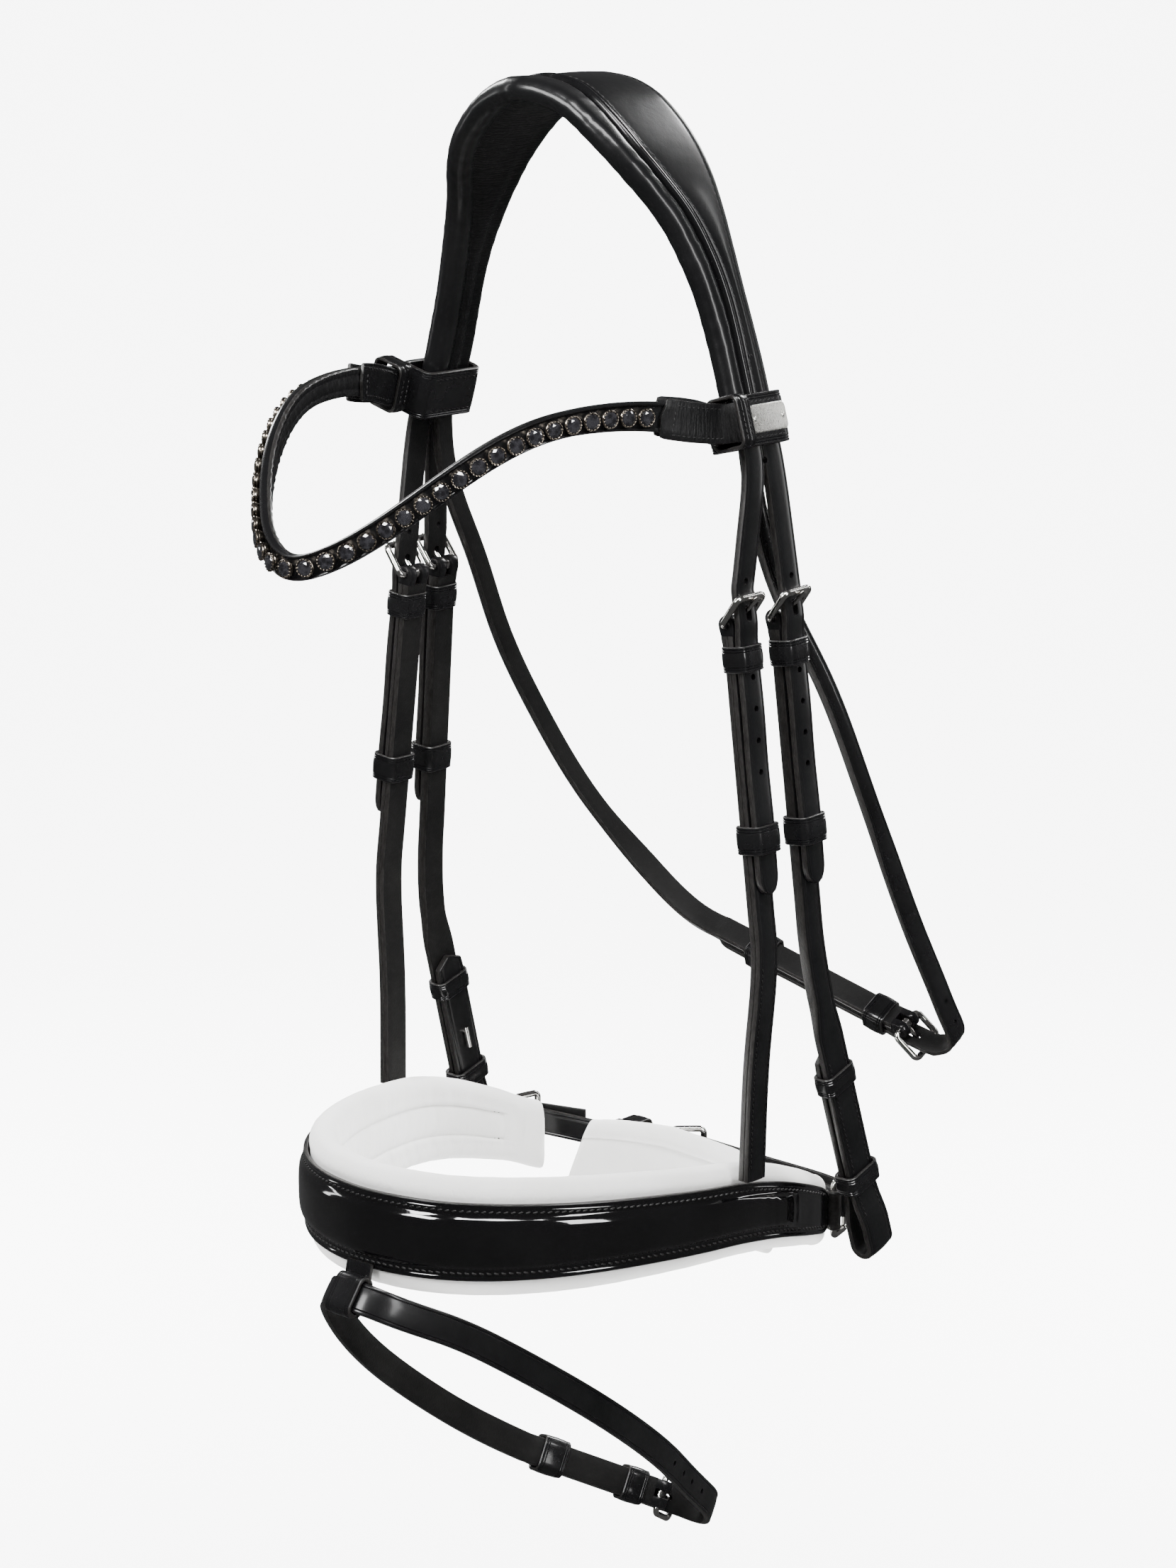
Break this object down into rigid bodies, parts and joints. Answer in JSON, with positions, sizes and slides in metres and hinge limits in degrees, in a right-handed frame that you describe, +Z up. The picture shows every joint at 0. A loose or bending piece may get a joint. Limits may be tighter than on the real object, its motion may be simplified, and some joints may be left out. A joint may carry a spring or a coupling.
{
  "type": "snaffle bridle",
  "caption": "Leather bridle with padded crown, V-shaped stone-set browband, padded crank noseband, flash strap, throatlash and bit loops on adjustable cheekpieces.",
  "frame": {"origin": "where the horse's poll carries the bridle: the underside of the crown at its middle", "axes": "+Z up, -Y towards the horse's nose, +X to the horse's left (near) side"},
  "size_m": [0.2474, 0.3476, 0.6814],
  "materials": {
    "black_leather": "satin, fine grain",
    "patent_leather": "high gloss patent",
    "white_leather": "soft matte nappa",
    "soft_lining": "soft wrinkled lining",
    "bright_metal": "polished nickel",
    "stone_cups": "polished cup with beaded rim",
    "cut_stone": "dark faceted stone"
  },
  "bodies": {
    "headpiece": {"crown_panel": "black_leather", "crown_padding": "soft_lining", "near_noseband_branch": "black_leather", "near_cheek_branch": "black_leather", "near_noseband_fixed_keeper": "black_leather", "near_cheek_fixed_keeper": "black_leather", "near_noseband_hanger": "black_leather", "near_cheekpiece": "black_leather", "near_hook_stud": "bright_metal", "near_billet_fixed_keeper": "black_leather", "off_noseband_branch": "black_leather", "off_cheek_branch": "black_leather", "off_noseband_fixed_keeper": "black_leather", "off_cheek_fixed_keeper": "black_leather", "off_noseband_hanger": "black_leather", "off_cheekpiece": "black_leather", "off_hook_stud": "bright_metal", "off_billet_fixed_keeper": "black_leather", "noseband_outer": "patent_leather", "noseband_padding": "white_leather", "chin_strap": "black_leather", "chin_chape": "black_leather", "chin_pad": "white_leather", "throatlash_long": "black_leather", "throatlash_short": "black_leather", "throatlash_fixed_keeper": "black_leather"},
    "browband": {"browband_strap": "black_leather", "near_browband_sleeve": "black_leather", "off_browband_sleeve": "black_leather", "browband_stones": "cut_stone", "browband_stone_cups": "stone_cups", "browband_side_plate": "bright_metal"},
    "near_noseband_frame": {"near_noseband_buckle_frame": "bright_metal"},
    "near_noseband_tongue": {"near_noseband_buckle_tongue": "bright_metal"},
    "near_noseband_runner": {"near_noseband_runner_keeper": "black_leather"},
    "near_cheek_frame": {"near_cheek_buckle_frame": "bright_metal"},
    "near_cheek_tongue": {"near_cheek_buckle_tongue": "bright_metal"},
    "near_cheek_runner": {"near_cheek_runner_keeper": "black_leather"},
    "near_billet_runner": {"near_billet_runner_keeper": "black_leather"},
    "near_ring": {"near_noseband_ring": "bright_metal"},
    "off_noseband_frame": {"off_noseband_buckle_frame": "bright_metal"},
    "off_noseband_tongue": {"off_noseband_buckle_tongue": "bright_metal"},
    "off_noseband_runner": {"off_noseband_runner_keeper": "black_leather"},
    "off_cheek_frame": {"off_cheek_buckle_frame": "bright_metal"},
    "off_cheek_tongue": {"off_cheek_buckle_tongue": "bright_metal"},
    "off_cheek_runner": {"off_cheek_runner_keeper": "black_leather"},
    "off_billet_runner": {"off_billet_runner_keeper": "black_leather"},
    "off_ring": {"off_noseband_ring": "bright_metal"},
    "flash": {"flash_strap": "black_leather", "flash_tab": "black_leather", "flash_fixed_keeper": "black_leather"},
    "flash_frame": {"flash_buckle_frame": "bright_metal"},
    "flash_tongue": {"flash_buckle_tongue": "bright_metal"},
    "chin_frame": {"chin_buckle_frame": "bright_metal"},
    "chin_tongue": {"chin_buckle_tongue": "bright_metal"},
    "throatlash_frame": {"throatlash_buckle_frame": "bright_metal"},
    "throatlash_tongue": {"throatlash_buckle_tongue": "bright_metal"},
    "flash_runner": {"flash_runner_keeper": "black_leather"},
    "chin_runner": {"chin_runner_keeper": "black_leather"},
    "throatlash_runner": {"throatlash_runner_keeper": "black_leather"}
  },
  "joints": [
    {"name": "browband_slide", "type": "slide", "parent": "headpiece", "child": "browband", "axis": [0, 0, 1], "range_m": [-0.003, 0]},
    {"name": "near_noseband_frame_rock", "type": "hinge", "parent": "headpiece", "child": "near_noseband_frame", "pos_m": [0.0915, 0.014, -0.212], "axis": [0, 1, 0], "range_deg": [0, 5]},
    {"name": "near_noseband_tongue_lift", "type": "hinge", "parent": "near_noseband_frame", "child": "near_noseband_tongue", "pos_m": [0.0915, 0.014, -0.212], "axis": [0, 1, 0], "range_deg": [0, 6]},
    {"name": "near_noseband_runner_slide", "type": "slide", "parent": "headpiece", "child": "near_noseband_runner", "axis": [-0.1219, 0, 0.9925], "range_m": [-0.013, 0.055]},
    {"name": "near_cheek_frame_rock", "type": "hinge", "parent": "headpiece", "child": "near_cheek_frame", "pos_m": [0.0965, 0.039, -0.212], "axis": [-0.0069, 0.9994, 0.0343], "range_deg": [0, 5]},
    {"name": "near_cheek_tongue_lift", "type": "hinge", "parent": "near_cheek_frame", "child": "near_cheek_tongue", "pos_m": [0.0965, 0.039, -0.212], "axis": [-0.0069, 0.9994, 0.0343], "range_deg": [0, 6]},
    {"name": "near_cheek_runner_slide", "type": "slide", "parent": "headpiece", "child": "near_cheek_runner", "axis": [-0.0994, -0.0348, 0.9944], "range_m": [-0.013, 0.055]},
    {"name": "near_billet_runner_slide", "type": "slide", "parent": "headpiece", "child": "near_billet_runner", "axis": [-0.0422, -0.2862, 0.9572], "range_m": [-0.002, 0.004]},
    {"name": "near_ring_swing", "type": "hinge", "parent": "headpiece", "child": "near_ring", "pos_m": [0.09511, 0.08421, -0.4875], "axis": [0, 0, 1], "range_deg": [-3, 3]},
    {"name": "off_noseband_frame_rock", "type": "hinge", "parent": "headpiece", "child": "off_noseband_frame", "pos_m": [-0.0915, 0.014, -0.212], "axis": [0, -1, 0], "range_deg": [0, 5]},
    {"name": "off_noseband_tongue_lift", "type": "hinge", "parent": "off_noseband_frame", "child": "off_noseband_tongue", "pos_m": [-0.0915, 0.014, -0.212], "axis": [0, -1, 0], "range_deg": [0, 6]},
    {"name": "off_noseband_runner_slide", "type": "slide", "parent": "headpiece", "child": "off_noseband_runner", "axis": [0.1219, 0, 0.9925], "range_m": [-0.013, 0.055]},
    {"name": "off_cheek_frame_rock", "type": "hinge", "parent": "headpiece", "child": "off_cheek_frame", "pos_m": [-0.0965, 0.039, -0.212], "axis": [-0.0069, -0.9994, -0.0343], "range_deg": [0, 5]},
    {"name": "off_cheek_tongue_lift", "type": "hinge", "parent": "off_cheek_frame", "child": "off_cheek_tongue", "pos_m": [-0.0965, 0.039, -0.212], "axis": [-0.0069, -0.9994, -0.0343], "range_deg": [0, 6]},
    {"name": "off_cheek_runner_slide", "type": "slide", "parent": "headpiece", "child": "off_cheek_runner", "axis": [0.0994, -0.0348, 0.9944], "range_m": [-0.013, 0.055]},
    {"name": "off_billet_runner_slide", "type": "slide", "parent": "headpiece", "child": "off_billet_runner", "axis": [0.0422, -0.2862, 0.9572], "range_m": [-0.002, 0.004]},
    {"name": "off_ring_swing", "type": "hinge", "parent": "headpiece", "child": "off_ring", "pos_m": [-0.09511, 0.08421, -0.4875], "axis": [0, 0, -1], "range_deg": [-3, 3]},
    {"name": "flash_swing", "type": "hinge", "parent": "headpiece", "child": "flash", "pos_m": [0, -0.121, -0.4813], "axis": [1, 0, 0], "range_deg": [-50, 5]},
    {"name": "flash_frame_rock", "type": "hinge", "parent": "flash", "child": "flash_frame", "pos_m": [-0.006, 0.08653, -0.65328], "axis": [-0.0565, 0.527, 0.848], "range_deg": [0, 5]},
    {"name": "flash_tongue_lift", "type": "hinge", "parent": "flash_frame", "child": "flash_tongue", "pos_m": [-0.006, 0.08653, -0.65328], "axis": [-0.0565, 0.527, 0.848], "range_deg": [0, 6]},
    {"name": "chin_frame_rock", "type": "hinge", "parent": "headpiece", "child": "chin_frame", "pos_m": [-0.028, 0.1204, -0.494], "axis": [0, 0, 1], "range_deg": [0, 5]},
    {"name": "chin_tongue_lift", "type": "hinge", "parent": "chin_frame", "child": "chin_tongue", "pos_m": [-0.028, 0.1204, -0.494], "axis": [0, 0, 1], "range_deg": [0, 6]},
    {"name": "throatlash_frame_rock", "type": "hinge", "parent": "headpiece", "child": "throatlash_frame", "pos_m": [0.068, 0.174, -0.427], "axis": [0.0774, 0.8437, 0.5311], "range_deg": [0, 5]},
    {"name": "throatlash_tongue_lift", "type": "hinge", "parent": "throatlash_frame", "child": "throatlash_tongue", "pos_m": [0.068, 0.174, -0.427], "axis": [0.0774, 0.8437, 0.5311], "range_deg": [0, 6]},
    {"name": "flash_runner_slide", "type": "slide", "parent": "flash", "child": "flash_runner", "axis": [0.5313, 0.735, -0.4214], "range_m": [-0.005, 0.03]},
    {"name": "chin_runner_slide", "type": "slide", "parent": "headpiece", "child": "chin_runner", "axis": [1, 0, 0], "range_m": [-0.003, 0.006]},
    {"name": "throatlash_runner_slide", "type": "slide", "parent": "headpiece", "child": "throatlash_runner", "axis": [0.9544, 0.0914, -0.2843], "range_m": [-0.016, 0.05]}
  ]
}
